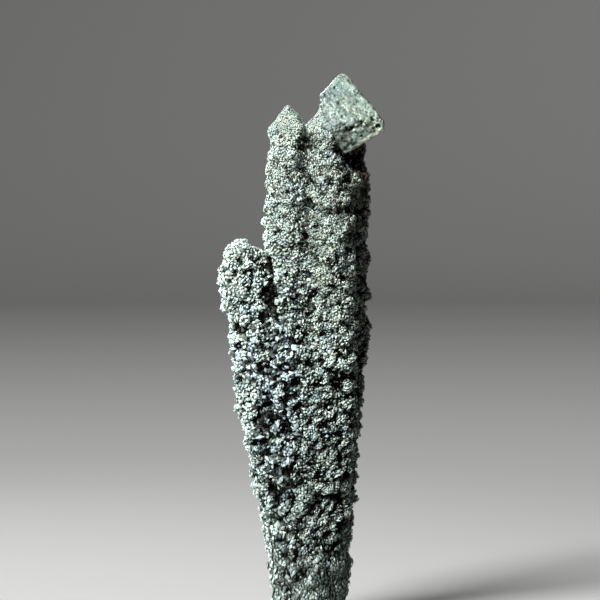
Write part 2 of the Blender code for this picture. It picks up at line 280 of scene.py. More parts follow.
def hashed(cells, salt):
    """Three numbers from 0 to 1 for each integer cell, always the same for the same cell."""
    mixed = np.bitwise_xor.reduce(cells * CELL_FACTORS, axis=1) ^ (salt * SALT_FACTOR)
    numbers = []
    for _ in range(3):
        for shift, factor in SCRAMBLING:
            mixed = (mixed ^ (mixed >> shift)) * factor & LOW_32_BITS
        numbers.append((mixed >> 8 & LOW_16_BITS) / LOW_16_BITS)
    return np.stack(numbers, 1)


def cell_distances(places, spacing, salt):
    """Distances to the nearest and the second nearest of scattered centres, in spacings."""
    scaled = places / spacing
    home = np.floor(scaled).astype(np.int64)
    first = np.full(len(places), FAR)
    second = np.full(len(places), FAR)
    for step in np.ndindex(3, 3, 3):
        cell = home + np.array(step) - 1
        away = np.linalg.norm(cell + hashed(cell, salt) - scaled, axis=1)
        second = np.minimum(second, np.maximum(first, away))
        first = np.minimum(first, away)
    return first, second


def smooth_noise(places, spacing, salt):
    """Smooth noise from about -1 to 1."""
    shift = Vector([step * salt for step in SALT_STEPS])
    return np.array([noise.noise(Vector(place) / spacing + shift) for place in places])


def layered_noise(places, layers):
    """Smooth noise from several layers."""
    return sum(weight * smooth_noise(places, spacing, salt) for weight, spacing, salt in layers)


def noise_vectors(places, spacing, salts):
    """Smooth noise along X, Y and Z, from three salts."""
    return np.stack([smooth_noise(places, spacing, salt) for salt in salts], 1)


def bump(places, at_x, at_z, radius):
    """One at a point of the front, falling to zero around it."""
    x, _, z = places.T
    return np.exp(-((x - at_x) ** 2 + (z - at_z) ** 2) / radius ** 2)


def oval(places, at_x, at_z, half_width, half_height, evenness=1):
    """One at a point of the front, falling to zero around it."""
    x, _, z = places.T
    away = ((x - at_x) / half_width) ** 2 + ((z - at_z) / half_height) ** 2
    return np.exp(-away ** evenness)


def patch_shares(places, patches):
    """How strongly each patch shows at each place: even inside it, and nothing on the back."""
    shares = [most * oval(places, *patch, evenness=2) for *patch, most in patches]
    return np.array(shares) * (places[:, 1] < PATCHES_TO_Y)


def mottling(places):
    """The share of dull brown crystals at each place."""
    return patch_shares(places, MOTTLES).max(0)


def shading(places, patches):
    """How much the patches of painted light and shade make the crystals paler or darker at each
    place.
    """
    return patch_shares(places, patches).sum(0)


def on_knob(places):
    """One on the knob below the cap, falling to zero around it."""
    at_x, at_z, radius, _ = KNOB
    return bump(places, at_x, at_z, KNOB_REACH * radius) * (places[:, 1] < 0.0)


def add_object(name, data):
    """A new object in the scene."""
    obj = bpy.data.objects.new(name, data)
    bpy.context.scene.collection.objects.link(obj)
    return obj


def voxel_mesh(mesh, voxel, name):
    """The mesh skinned afresh with an even grid of faces."""
    obj = add_object(name, mesh)
    remesh = obj.modifiers.new("skin", "REMESH")
    remesh.mode = "VOXEL"
    remesh.voxel_size = voxel * MM
    evaluated = obj.evaluated_get(bpy.context.evaluated_depsgraph_get())
    skinned = bpy.data.meshes.new_from_object(evaluated)
    bpy.data.objects.remove(obj, do_unlink=True)
    return skinned


def add_values(mesh, name, values):
    """Store one number for each point, for the material to read."""
    attribute = mesh.attributes.new(name, "FLOAT", "POINT")
    attribute.data.foreach_set("value", values.astype(np.float32))


def add_piece(name, mesh, material, smooth):
    """A visible piece of the cluster, riding with it and standing for its solid."""
    mesh.name = name
    mesh.materials.clear()
    mesh.materials.append(material)
    mesh.polygons.foreach_set("use_smooth", [smooth] * len(mesh.polygons))
    piece = add_object(name, mesh)
    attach(piece, BODY)
    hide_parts(NODE)


# ---- the large crystals ----

CAP_CENTRE = (6.2, -0.3, 89.6)
# Each facet is a plane: the direction that it faces, and its distance from the centre. They are as
# on the solid, but for two that lie nearer to the centre here: the left side's at 4.0 instead of
# 4.3, and the lower left one at 4.9 instead of 5.5.
CAP_FACETS = [
    (0.06, -0.80, 0.60, 5.5), (0.00, 0.80, 0.60, 5.4), (0.784, 0.0, 0.621, 5.77),
    (-0.732, 0.0, 0.682, 6.70), (-1.0, 0.0, 0.0, 4.0), (0.0, 0.0, 1.0, 9.25),
    (1.0, 0.0, 0.0, 6.85), (0.532, 0.0, -0.847, 4.6), (-0.45, -0.86, 0.24, 5.98),
    (0.10, -0.88, -0.46, 5.9), (-0.60, -0.42, -0.68, 4.9), (0.00, 0.80, -0.60, 5.2),
    (0.0, 0.0, -1.0, 7.0),
]
UPPER_FRONT, LOWER_RIGHT, LEFT_FRONT, LOWER_FRONT = 0, 7, 8, 9  # their rows in that table
FRONT_BEVEL = (0.08, -0.99, 0.07, 6.45)  # a narrow worn facet between the two at the front
# Octahedra: centre, corner radius, turn about Z in degrees.
SHOULDER = ((2.2, -1.8, 88.0), 4.4, 8.0)
TIP = ((-3.7, -1.7, 89.1), 3.9, 30.0)
SIDE_LEFT = ((-6.5, -2.2, 88.4), 1.5, 30.0)
BLUNT = 0.93  # corners are cut off at this share of the radius
BLOCK = 40.0  # side of the block that a crystal is cut from
CUT_TOLERANCE = 1e-9  # metres


def octahedral_facets(radius, turn):
    """The eight faces of an octahedron with upright axis, and planes that blunt its corners."""
    slant = 1.0 / math.sqrt(3.0)
    facets = []
    for quarter in range(4):
        angle = math.radians(turn + 45.0 + 90.0 * quarter)
        x = math.cos(angle) * math.sqrt(2.0) * slant
        y = math.sin(angle) * math.sqrt(2.0) * slant
        facets.append((x, y, slant, radius * slant))
        facets.append((x, y, -slant, radius * slant))
        corner = math.radians(turn + 90.0 * quarter)
        facets.append((math.cos(corner), math.sin(corner), 0.0, radius * BLUNT))
    facets.append((0.0, 0.0, 1.0, radius * BLUNT))
    return facets


def facet_depths(places, centre, facets):
    """Distance of each place outside each facet's plane; negative inside."""
    planes = np.array(facets)
    planes[:, :3] = unit(planes[:, :3])
    return (places - centre) @ planes[:, :3].T - planes[:, 3]


def depth_in_crystal(places, centre, facets):
    """Distance outside the crystal's nearest facet; negative inside."""
    return facet_depths(places, centre, facets).max(1)


def facet_mesh(centre, facets, name):
    """A closed crystal: a block cut by one plane for each facet."""
    form = bmesh.new()
    bmesh.ops.create_cube(form, size=BLOCK * MM)
    for nx, ny, nz, distance in facets:
        outward = Vector((nx, ny, nz)).normalized()
        cut = bmesh.ops.bisect_plane(
            form, geom=form.verts[:] + form.edges[:] + form.faces[:], dist=CUT_TOLERANCE,
            plane_co=outward * (distance * MM), plane_no=outward, clear_outer=True,
        )
        rim = [item for item in cut["geom_cut"] if isinstance(item, bmesh.types.BMEdge)]
        bmesh.ops.contextual_create(form, geom=rim)
    bmesh.ops.recalc_face_normals(form, faces=form.faces)
    bmesh.ops.translate(form, verts=form.verts, vec=Vector(centre) * MM)
    mesh = bpy.data.meshes.new(name)
    form.to_mesh(mesh)
    form.free()
    return mesh


CAP_VOXEL = 0.10
CAP_ROUNDING = 14  # smoothing rounds
CAP_WANDER = (0.8, (41.0, 43.0, 47.0))  # noise that bends the stipple: spacing, salts
CAP_BEND = 0.3
STIPPLE = (0.36, 5)  # spacing and salt
PIMPLE_RADIUS = 0.5  # in spacings
PIMPLE_HEIGHT = (0.55, 0.45)  # on average, and how far it varies
SWELLS = [(0.20, 2.4, 5.4), (0.18, 1.05, 4.05), (0.09, 0.55, 3.55)]
CRUMBLE = [(1.0, 1.5, 17.0), (0.5, 0.5, 19.0)]
CAP_PATCHES = [(1.0, 0.9, 71.0), (0.6, 0.4, 73.0)]
CAP_HUES = [(0.30, 2.4, 31.0)]
# Forms along edges: half width, and the share that shows, as a base and a gain with the crumbling.
# The ridge is the broken edge between the two front facets, the rim the raised lower right edge.
EDGES = {"ridge": (1.3, (0.1, 1.2)), "chip": (0.40, (0.2, 0.8)), "rim": (0.62, (1.0, 0.6))}
RIDGE_FRONT, RIM_FRONT = 1.0, 1.5  # they are at least this far before the centre
HORN = (2.2, 94.7, 0.45)  # on the left edge: x, z, radius
# Pits on the front: (x, z, radius, depth).
CAP_PITS = [
    (11.1, 90.6, 0.50, 0.50), (12.1, 89.2, 0.55, 0.50), (7.6, 88.8, 0.40, 0.45),
    (5.4, 89.6, 0.50, 0.30), (5.8, 91.0, 0.35, 0.30), (5.2, 93.4, 0.35, 0.30),
    (4.5, 96.1, 0.35, 0.28),
]
PIT_STEEPNESS = 1.5
# Patches of painted light and painted shade, as in SHADES.
CAP_SHADES = [
    (4.2, 86.7, 1.4, 1.0, 1.6), (5.5, 88.1, 1.5, 0.7, -0.4), (3.2, 88.6, 0.8, 1.2, -0.4),
    (6.5, 90.3, 0.9, 0.8, 0.8), (8.2, 86.8, 2.5, 0.8, 0.5),
]
LEFT_FACE_FADE = 0.8  # the painted shade of a face fades in over this distance
LOWER_FACE_FADE = 1.2
# What each of the cap's forms adds to its relief, tone, openness and hue. The tone and openness
# paint light on the pimples, the swells and the rim, and shade in the ridge and the pits, on the
# left face and, through the openness, on the lower face.
CAP_RELIEF = {
    "pimple": 0.14, "swell": 1.0, "ridge": -0.22, "chip": -0.22, "pits": -1.0, "rim": 0.12,
    "horn": 0.45,
}
CAP_TONE = {
    "base": 0.35, "pimple": 1.1, "swell": 1.3, "left face": -0.40, "lower patches": 0.75,
    "lower face": 0.10, "rim": 0.9, "shade": SHADE_OF_TONE,
}
CAP_OPENNESS = {
    "base": 0.62, "pimple": 0.8, "ridge": -0.5, "pits": -0.9, "lower patches": 0.5,
    "lower face": -0.08, "rim": 0.6, "shade": SHADE_OF_OPENNESS,
}
CAP_HUE = {"base": 0.42, "rightward": 0.03, "hues": 1.0, "lower face": 0.22, "left face": -0.12}


def cap_crystal(material):
    """The large cap: flat faces with a stippled, pitted surface and broken edges."""
    form = facet_mesh(CAP_CENTRE, CAP_FACETS + [FRONT_BEVEL], "cap_crystal")
    mesh = voxel_mesh(form, CAP_VOXEL, "cap_crystal")
    places = relaxed(points_of(mesh), edges_of(mesh), CAP_ROUNDING)
    set_points(mesh, places)
    x, y, z = places.T
    depths = facet_depths(places, CAP_CENTRE, CAP_FACETS)
    upper, right, left, lower = depths[:, (UPPER_FRONT, LOWER_RIGHT, LEFT_FRONT, LOWER_FRONT)].T
    ranked = -np.sort(-depths, axis=1)
    from_edge = ranked[:, 0] - ranked[:, 1]
    wander = noise_vectors(places, *CAP_WANDER)
    nearest = cell_distances(places + CAP_BEND * wander, *STIPPLE)[0]
    crumble = layered_noise(places, CRUMBLE)
    from_edges = {"ridge": upper - lower, "chip": from_edge, "rim": lower - right}
    forms = {
        name: np.exp(-(from_edges[name] / half_width) ** 2) * partly(crumble, *shows)
        for name, (half_width, shows) in EDGES.items()
    }
    forms["ridge"] *= y < CAP_CENTRE[1] - RIDGE_FRONT
    forms["rim"] *= (from_edge < EDGES["rim"][0]) * (y < CAP_CENTRE[1] - RIM_FRONT)
    forms["chip"] *= 1.0 - forms["rim"]
    pits = np.zeros(len(places))
    for at_x, at_z, radius, depth in CAP_PITS:
        away = np.hypot(x - at_x, z - at_z) / radius
        pits += depth * np.exp(-away ** 2 - PIT_STEEPNESS * away ** 4) * (y < CAP_CENTRE[1])
    lower_face = np.clip((lower - np.maximum(upper, left)) / LOWER_FACE_FADE, 0.0, 1.0)
    forms |= {
        "base": 1.0,
        "pimple": (PIMPLE_RADIUS - nearest) * (PIMPLE_HEIGHT[0] + PIMPLE_HEIGHT[1] * wander[:, 0]),
        "swell": layered_noise(places, SWELLS),
        "pits": pits,
        "horn": bump(places, *HORN),
        "left face": np.clip((left - upper) / LEFT_FACE_FADE, 0.0, 1.0),
        "lower face": lower_face,
        "lower patches": lower_face * layered_noise(places, CAP_PATCHES),
        "shade": shading(places, CAP_SHADES),
        "rightward": x - CAP_CENTRE[0],
        "hues": layered_noise(places, CAP_HUES),
    }
    set_points(mesh, places + normals_of(mesh) * weighted(CAP_RELIEF, forms)[:, None])
    for name, weights in (("tone", CAP_TONE), ("cavity", CAP_OPENNESS), ("hue", CAP_HUE)):
        add_values(mesh, name, np.clip(weighted(weights, forms), 0.0, 1.0))
    add_piece("cap_crystal", mesh, material, True)


# ---- skin ----

SKIN_VOXEL = 0.315
SKIN_SMOOTHING = 5  # rounds
BROAD_ROUNDS = 70  # smoothing rounds that leave only the fingers' broad form
SKIN_SUNK = 0.22  # the skin lies this far under the crystals' feet
LUMP_GAIN = 0.15  # how much further the lumps stand out than on the solid
# The pattern of lobes and knobs: where its outlines wander, and how it is drawn out at the foot.
BEND = 0.55
BEND_NOISE = (1.9, (11.0, 23.0, 37.0))  # spacing, salts
DRAWN_OUT = ((0.0, 10.0, 22.0, 110.0), (0.0, 4.5, 13.0, 101.0))
# Rows of lobes and knobs, left and right of the middle: their rise per run, how much wider than
# tall the lobes are, and how much longer and lower than round the knobs are.
ROWS = [(0.05, 1.3, 1.0, 1.0), (0.75, 1.8, 1.8, 1.5)]
RIGHT_HALF = ((-1.5, 1.5), (0.0, 1.0))
ROW_RISE = ((10.0, 22.0, 48.0, 60.0), (0.3, 1.0, 1.0, 0.4))
LOBES = (2.6, 1)  # spacing and salt
LOBE_RELIEF = 1.05
KNOBS = (1.1, 2)
KNOBS_SHIFT = 40.0
KNOB_RELIEF = 0.60
KNOB_ROUNDNESS = 0.55
KNOB_MIDDLE = 0.7  # brings a knob's form to about zero halfway up
CLEFT_WIDTH = 0.36  # of the clefts between lobes and knobs, in spacings
CLEFT_FLOOR = 0.25
SEAM_WIDTH = 0.14  # of the shaded seams between lobes, in spacings
HOLES = [(1.0, 1.5, 5.0), (0.5, 0.75, 9.0)]
HOLES_FROM = 0.30  # holes open where the noise passes this
HOLES_RANGE = 0.30
HOLE_DEPTH = 0.60
OVERHANG = 0.55  # lobes sag by this share of their relief
SAG_LIMITS = (-0.3, 1.0)
SKIN_LOWERED = 0.12
RELIEF_LIMITS = (-1.5, 0.7)
# Where the lumps are lower, and by what share.
LUMP_FADES = {
    "upper": {Z: ((45.0, 65.0), (0.0, 1.0))},  # right of the left finger
    "calm": {Z: ((6.0, 20.0), (1.0, 0.0))},
    "dome": {Z: ((64.0, 66.5), (0.0, 1.0))},  # on the left finger
}
LEFT_FINGER_TO_X = -8.0
FLATTER = {"upper": 0.35, "calm": 0.60, "dome": 0.45}
FLATTER_WHERE_FINE = 0.75
# Hollows: how their outlines wander, and how much shallower they are on the upper fingers.
HOLLOW_BEND = 0.35
HOLLOW_NOISE = (1.1, (61.0, 63.0, 67.0))
SHALLOW_FROM_X, SHALLOW_UP = -6.0, ((60.0, 66.0), (0.0, 0.35))
# The flat-faced crystals: how far the fine crystals reach down them, and their skin.
FINE_CRYSTALS = [
    (centre, octahedral_facets(radius, turn)) for centre, radius, turn in (SHOULDER, TIP, SIDE_LEFT)
]
FINE_REACH = (1.15, -0.625)  # fineness on a face, and its change outwards
FINE_UP = ((84.5, 88.5), (0.0, 1.0))
FINE_IN_HOLLOWS = -1.5
FINE_SWELL = 0.34  # makes up for the sharp tips' rounding by the skin's grid
GRIT = (0.55, 8)  # spacing and salt
GRIT_SHIFT = 15.0
GRIT_RELIEF = 0.16
TIP_TOP = (TIP[0][0], TIP[0][2] + TIP[1], 2.0, 1.7)  # x, z, half width, half height
TIP_LEAN = -0.30  # the middle tip's top leans this far along X
TIP_FULLER = 0.20
# Under the cap the skin is drawn in towards the cap's centre.
UNDER_CAP_TO = 0.12
UNDER_CAP_RELIEF = -0.1
CAP_PULL_FROM = 0.45
CAP_PULL_RANGE = 0.9
CAP_PULL = 0.25
# What the skin's forms add to its openness, and the openness on the flat-faced crystals. The
# openness
# is painted shade: lower in hollows, clefts, seams and the groove, towards the foot and on the
# right flank, and higher on lumps, on the knob below the cap and on the grit's tops.
SKIN_OPENNESS = {
    "base": 0.55, "lump": 0.40, "relief": 0.66, "hollow": -0.75, "upward": 1.0, "rightward": 1.0,
    "knob": 0.22, "seams": -0.24, "finger": 0.06, "groove": -0.10, "mottling": -0.04,
}
FINE_OPENNESS = (0.88, 0.55)  # and its gain with the grit
OPENNESS_FADES = {
    "upward": {Z: ((10.0, 25.0, 36.0, 60.0), (0.04, 0.07, 0.11, 0.14))},
    "rightward": {X: ((-10.0, -5.0, 6.0, 9.0), (0.08, 0.0, 0.0, -0.20))},
    "finger": {Z: ((48.0, 56.0), (0.0, 1.0))},  # on the left finger
    "groove": {Z: ((32.0, 37.0, 56.0, 64.0), (0.0, 1.0, 1.0, 0.0))},
}
GROOVE_X, GROOVE_HALF_WIDTH = -5.0, 1.5  # between the left and the middle finger, darkened with painted shade
FAINTER_SEAMS = {"upper": 0.8, "calm": 0.8, "finger": 0.6}


def knob_form(first, second):
    """Rounded knobs with narrow clefts between them: from about -0.5 in a cleft to 0.3 on top."""
    cleft = np.clip((second - first) / CLEFT_WIDTH, 0.0, 1.0)
    rounded = 1.0 - KNOB_ROUNDNESS * first ** 2
    return rounded * (CLEFT_FLOOR + (1.0 - CLEFT_FLOOR) * np.sqrt(cleft)) - KNOB_MIDDLE


def hollow_depth(places):
    """How deep the hollows of the front reach at each place."""
    x, y, z = places.T
    flat = places[:, (0, 2)]
    deepest = np.zeros(len(places))
    for run in HOLLOWS:
        stops = np.array(run + run[-1:])
        for start, end in zip(stops[:-1], stops[1:]):
            along = end[:2] - start[:2]
            share = (flat - start[:2]) @ along / max(along @ along, 1e-9)
            share = np.clip(share, 0.0, 1.0)
            away = np.linalg.norm(flat - start[:2] - share[:, None] * along, axis=1)
            radius = between(start[2], end[2], share)
            depth = between(start[3], end[3], share)
            deepest = np.maximum(deepest, depth * np.exp(-(away / radius) ** 2))
    shallow = (x > SHALLOW_FROM_X) * np.interp(z, *SHALLOW_UP)
    return deepest * (y < 0.0) * (1.0 - shallow)


def lobe_relief(places):
    """How far the lobes and knobs stand out at each place, and how near it is to a seam."""
    x, _, z = places.T
    bent = places + BEND * noise_vectors(places, *BEND_NOISE)
    bent[:, 2] = np.interp(bent[:, 2], *DRAWN_OUT)
    bent_x, bent_y, bent_z = bent.T
    right = np.interp(x, *RIGHT_HALF)
    rise = np.interp(z, *ROW_RISE)
    relief = np.zeros(len(places))
    seams = np.zeros(len(places))
    for share, (slant, lobe_width, length, lowness) in zip((1.0 - right, right), ROWS):
        level = bent_z - slant * rise * bent_x
        in_lobes = np.stack([bent_x, bent_y, lobe_width * level], 1)
        in_knobs = np.stack([bent_x / length, bent_y, lowness * level], 1) + KNOBS_SHIFT
        lobes = cell_distances(in_lobes, *LOBES)
        knobs = cell_distances(in_knobs, *KNOBS)
        relief += share * (LOBE_RELIEF * knob_form(*lobes) + KNOB_RELIEF * knob_form(*knobs))
        seams += share * np.exp(-((lobes[1] - lobes[0]) / SEAM_WIDTH) ** 2)
    holes = np.clip((layered_noise(bent, HOLES) - HOLES_FROM) / HOLES_RANGE, 0.0, 1.0)
    return relief - HOLE_DEPTH * holes, seams


def swelling(places):
    """How far the single knobs stand out, or the dents go in, at each place."""
    height = np.zeros(len(places))
    for at_x, at_z, radius, top in SWELLINGS:
        height += top * bump(places, at_x, at_z, radius)
    return height * (places[:, 1] < SWELLINGS_TO_Y)


def fineness(places):
    """One on the flat-faced crystals, falling to zero a little below them."""
    near = np.min([depth_in_crystal(places, *crystal) for crystal in FINE_CRYSTALS], axis=0)
    return partly(near, *FINE_REACH) * np.interp(places[:, 2], *FINE_UP)


def skin_mesh(solid):
    """The lumpy skin under the druse, the openness of each of its points, and which of them stand
    on the floor and which lie under the cap."""
    mesh = voxel_mesh(solid.data.copy(), SKIN_VOXEL, "skin")
    pairs = edges_of(mesh)
    places = relaxed(points_of(mesh), pairs, SKIN_SMOOTHING)
    broad = relaxed(places, pairs, BROAD_ROUNDS)
    set_points(mesh, places)
    normals = normals_of(mesh)
    x, _, z = places.T
    on_floor = z < SKIN_VOXEL
    under_cap = depth_in_crystal(places, CAP_CENTRE, CAP_FACETS) < UNDER_CAP_TO
    hollow = hollow_depth(places + HOLLOW_BEND * noise_vectors(places, *HOLLOW_NOISE))
    fine = fineness(places) * partly(hollow, 1.0, FINE_IN_HOLLOWS)
    coarse = 1.0 - fine
    lump = ((places - broad) * normals).sum(1) * coarse
    grit = knob_form(*cell_distances(places + GRIT_SHIFT, *GRIT))
    top = oval(places, *TIP_TOP)
    forms = faded(places, LUMP_FADES) | {"base": 1.0, "lump": lump, "hollow": hollow}
    forms["upper"] *= x > LEFT_FINGER_TO_X
    forms["dome"] *= x < LEFT_FINGER_TO_X

    relief, seams = lobe_relief(places)
    relief *= (1.0 - weighted(FLATTER, forms)) * (1.0 - FLATTER_WHERE_FINE * fine)
    relief = np.clip(relief - SKIN_LOWERED, *RELIEF_LIMITS)
    relief += fine * (FINE_SWELL + GRIT_RELIEF * grit) - hollow + TIP_FULLER * top
    relief[under_cap] = UNDER_CAP_RELIEF
    outward = LUMP_GAIN * lump + relief + swelling(places) * ~under_cap
    places = places + normals * outward[:, None]
    places[:, 2] -= OVERHANG * np.clip(relief, *SAG_LIMITS) * coarse * ~under_cap
    places[:, 0] += TIP_LEAN * top
    inside = depth_in_crystal(places, CAP_CENTRE, CAP_FACETS)
    pull = CAP_PULL * np.clip((CAP_PULL_FROM - inside) / CAP_PULL_RANGE, 0.0, 1.0)
    places = between(places, np.array(CAP_CENTRE), pull[:, None])
    places[:, 2] = np.maximum(places[:, 2], 0.0)
    set_points(mesh, places)

    forms |= faded(places, OPENNESS_FADES)
    forms["finger"] *= places[:, 0] < LEFT_FINGER_TO_X
    forms["groove"] *= np.exp(-((places[:, 0] - GROOVE_X) / GROOVE_HALF_WIDTH) ** 2)
    forms["relief"] = relief + hollow
    forms["knob"] = on_knob(places)
    forms["seams"] = seams * (1.0 - weighted(FAINTER_SEAMS, forms))
    forms["mottling"] = mottling(places)
    openness = weighted(SKIN_OPENNESS, forms)
    openness = between(openness, FINE_OPENNESS[0] + FINE_OPENNESS[1] * grit, fine)
    openness += SHADE_OF_OPENNESS * shading(places, SHADES)
    return mesh, np.clip(openness, 0.0, 1.0), on_floor, under_cap


# ---- druse ----

CANDIDATES = 260000
CLEAR_OF_FLOOR = 0.35  # no crystal grows lower than this
# How far apart the crystals stand: on the fine right side, on the coarse left side, and on the
# flat-faced crystals.
CRYSTAL_SPACING = (0.36, 0.50)
FINE_SPACING = 0.23
COARSE_RIGHTWARD = (0.5, -0.16, -1.5)  # share at x, its change along X, and that x
COARSE_NOISE = [(0.25, 5.0, 3.0)]
COARSE_UP = ((60.0, 75.0), (1.0, 0.35))
SPACING_UP = ((62.0, 74.0), (1.0, 0.8))
SPREAD_OF_SIZES = (0.62, 2.3)  # their spacing varies between these, times the mean
SPREAD_SHAPE = (1.0, 4.5)  # of the beta distribution: mostly small
KNOB_GAIN = 0.6
FOOT_GAIN = ((8.0, 18.0), (1.25, 1.0))
LARGER_SHARE = 0.0012  # of the open candidates grow LARGER_BY times as large
LARGER_BY = 1.35
LARGER_OPENNESS = 0.55
# Their half widths and heights, in spacings.
CRYSTAL_WIDTH = (0.62, 0.95)
WIDTH_SHAPE = (1.4, 2.2)
CRYSTAL_HEIGHT = (0.42, 0.85)
LONGEST = 0.42  # how far a crystal may be drawn out, as a power of e
CRYSTAL_TILT = 22.0  # degrees
TILT_SPREAD = 0.6  # of the tilt's tangent, along each axis
# Where the druse changes: the upper fingers are smoother, and so is the foot.
DRUSE_FADES = {
    "smooth": {Z: ((62.0, 74.0), (0.0, 0.7))},
    "foot": {Z: ((8.0, 26.0), (1.0, 0.0))},
    "calm": {Z: ((8.0, 24.0, 60.0, 70.0), (0.85, 0.2, 0.15, 0.4))},
    "right": {X: ((-3.0, 3.0), (0.0, 1.0))},
    "left": {X: ((-10.0, -5.0), (1.0, 0.0)), Z: ((25.0, 40.0), (0.0, 1.0))},
    # painted shade: darker towards the foot
    "painted shade below": {Z: ((10.0, 30.0, 50.0), (0.40, 0.30, 0.0))},
    # painted shade on the upper fingers, most on the right finger
    "painted shade above": {X: ((-9.0, -7.0, -1.5, 1.0), (0.0, 0.17, 0.17, 0.30)),
                   Z: ((52.0, 64.0), (0.0, 1.0))},
    # painted shade on the right flank
    "flank": {X: ((7.0, 9.5), (0.0, 1.0))},
    # rust on the right flank, darkened further by the rusty tint: rust and painted shade
    "rusty flank": {X: ((7.0, 9.5), (0.0, 1.0)), Z: ((20.0, 60.0, 88.0), (0.25, 0.5, 1.0))},
    "lower half": {Z: ((40.0, 60.0), (1.0, 0.0))},
    "upright": {Z: ((10.0, 22.0), (3.0, 0.0))},
    "slanting": {X: ((-1.0, 2.0), (0.0, 1.5)),
                 Z: ((10.0, 22.0, 46.0, 52.0), (0.0, 1.0, 1.0, 0.0))},
}
LOWER_WHERE = {"fine": 0.40, "foot": 0.60, "smooth": 0.55}
LOWER_RIGHTWARD = (0.90, -0.18)  # height on the left, and its change to the right
LESS_TILT = {"fine": 0.4, "calm": 1.0}  # by these shares
LESS_TILT_SMOOTH = 0.5
EVENLY_SHADED = 0.7  # how far the gaps' painted shade fades where the druse is smooth or fine
# Directions that crystals are drawn out along: upright at the foot, and slanting on the right.
GRAINS = {"upright": (0.0, 0.0, 1.0), "slanting": (0.77, 0.0, 0.64)}
# Openness, the painted shade: some crystals are painted as catching the light even down in a
# hollow, and dull ones are darker.
STRAY_SHARE = 0.14
STRAY_OPENNESS = (0.35, 0.4)  # at least, and how far it varies
OPEN_FROM = 0.3  # the smooth part's crystals that are more open than this are evened out
EVENED_SHARE = 0.7
EVENED_TO = (0.57, -0.12)  # openness on the left, and its change to the right: painted shade grows to the right
DULL_SHARE = {"mottled": 0.65, "smooth": 0.20, "fine": 0.06}
DULL_OPENNESS = 0.45  # times as open
FOOT_OPENNESS = 0.40  # the foot's crystals are drawn towards this
FOOT_EVENED = 0.45
FOOT_OPEN_FROM = 0.15
# What the forms add to the tone and the hue. The tone is painted darker towards the foot, on the
# upper fingers and on the right flank (painted shade), and paler on the knob below the cap (painted
# light).
TONE = {
    "base": 0.35, "tone varies": 0.14, "patches": 0.60, "fine": -0.18, "left": 0.16,
    "painted shade below": -1.0, "painted shade above": -1.0, "flank": -0.5, "knob": 0.5, "shade": SHADE_OF_TONE,
}
TONE_NOISE = [(0.5, 2.6, 51.0), (0.3, 1.1, 53.0)]
PATCHIER_WHEN_SMOOTH = 0.7
HUE = {
    "base": 0.45, "rightward": 0.006, "hues": 1.0, "rusty flank": 0.45, "rust and cap shadow": 0.55,
    "patch": 0.35, "blue": -0.26, "lower half": -0.08, "hue varies": 0.16, "dull": 0.35,
}
HUE_NOISE = [(0.40, 1.9, 57.0)]
# Stains: x, z, half width, half height. The one under the cap is rust with painted shadow of the
# cap.
BLUE_MIDDLE = (-5.0, 40.0, 4.5, 16.0)
RUST_AND_CAP_SHADOW = (9.5, 82.5, 2.6, 3.5)  # under the cap: rust and painted shadow
RUSTY_PATCH = (-2.0, 85.4, 1.6, 1.6)
# Where one druse piece ends and the next begins.
REAR_FROM_Y = 0.6
FINGERS_FROM_Z = 46.0
MIDDLE_FINGER_TO_X = -0.5
LEFT_FINGER_PIECE_TO_X = -7.6
FOOT_TO_Z = 14.0


def spacing_of(places):
    """How far apart the crystals stand at each place, on average."""
    x, _, z = places.T
    share, gain, at_x = COARSE_RIGHTWARD
    coarse = partly(x - at_x, share + layered_noise(places, COARSE_NOISE), gain)
    coarse *= np.interp(z, *COARSE_UP)
    spacing = between(*CRYSTAL_SPACING, coarse) * np.interp(z, *SPACING_UP)
    return between(spacing, FINE_SPACING, fineness(places))


def scattered_points(mesh, openness, under_cap, count):
    """Points spread at random over the mesh outside the cap: places, normals and openness."""
    places, normals = points_of(mesh), normals_of(mesh)
    mesh.calc_loop_triangles()
    corners = rows_of(mesh.loop_triangles, "vertices", 3, np.int32)
    a, b, c = (places[corners[:, k]] for k in range(3))
    area = np.linalg.norm(np.cross(b - a, c - a), axis=1) / spacing_of(a) ** 2
    area[under_cap[corners].any(axis=1)] = 0.0
    chosen = rng.choice(len(corners), count, p=area / area.sum())
    u, v = rng.random(count), rng.random(count)
    over = u + v > 1.0
    u[over], v[over] = 1.0 - u[over], 1.0 - v[over]
    weights = np.stack([1.0 - u - v, u, v], 1)
    spot = corners[chosen]
    return (
        np.einsum("nk,nkj->nj", weights, places[spot]),
        unit(np.einsum("nk,nkj->nj", weights, normals[spot])),
        np.einsum("nk,nk->n", weights, openness[spot]),
    )


def thinned(places, spacing):
    """Which points stay when none may stand nearer to an earlier one than that one's spacing."""
    tree = kdtree.KDTree(len(places))
    for index, place in enumerate(places):
        tree.insert(place, index)
    tree.balance()
    taken = np.zeros(len(places), bool)
    kept = []
    for index, place in enumerate(places):
        if taken[index]:
            continue
        kept.append(index)
        for _, near, _ in tree.find_range(place, spacing[index]):
            taken[near] = True
    return np.array(kept)


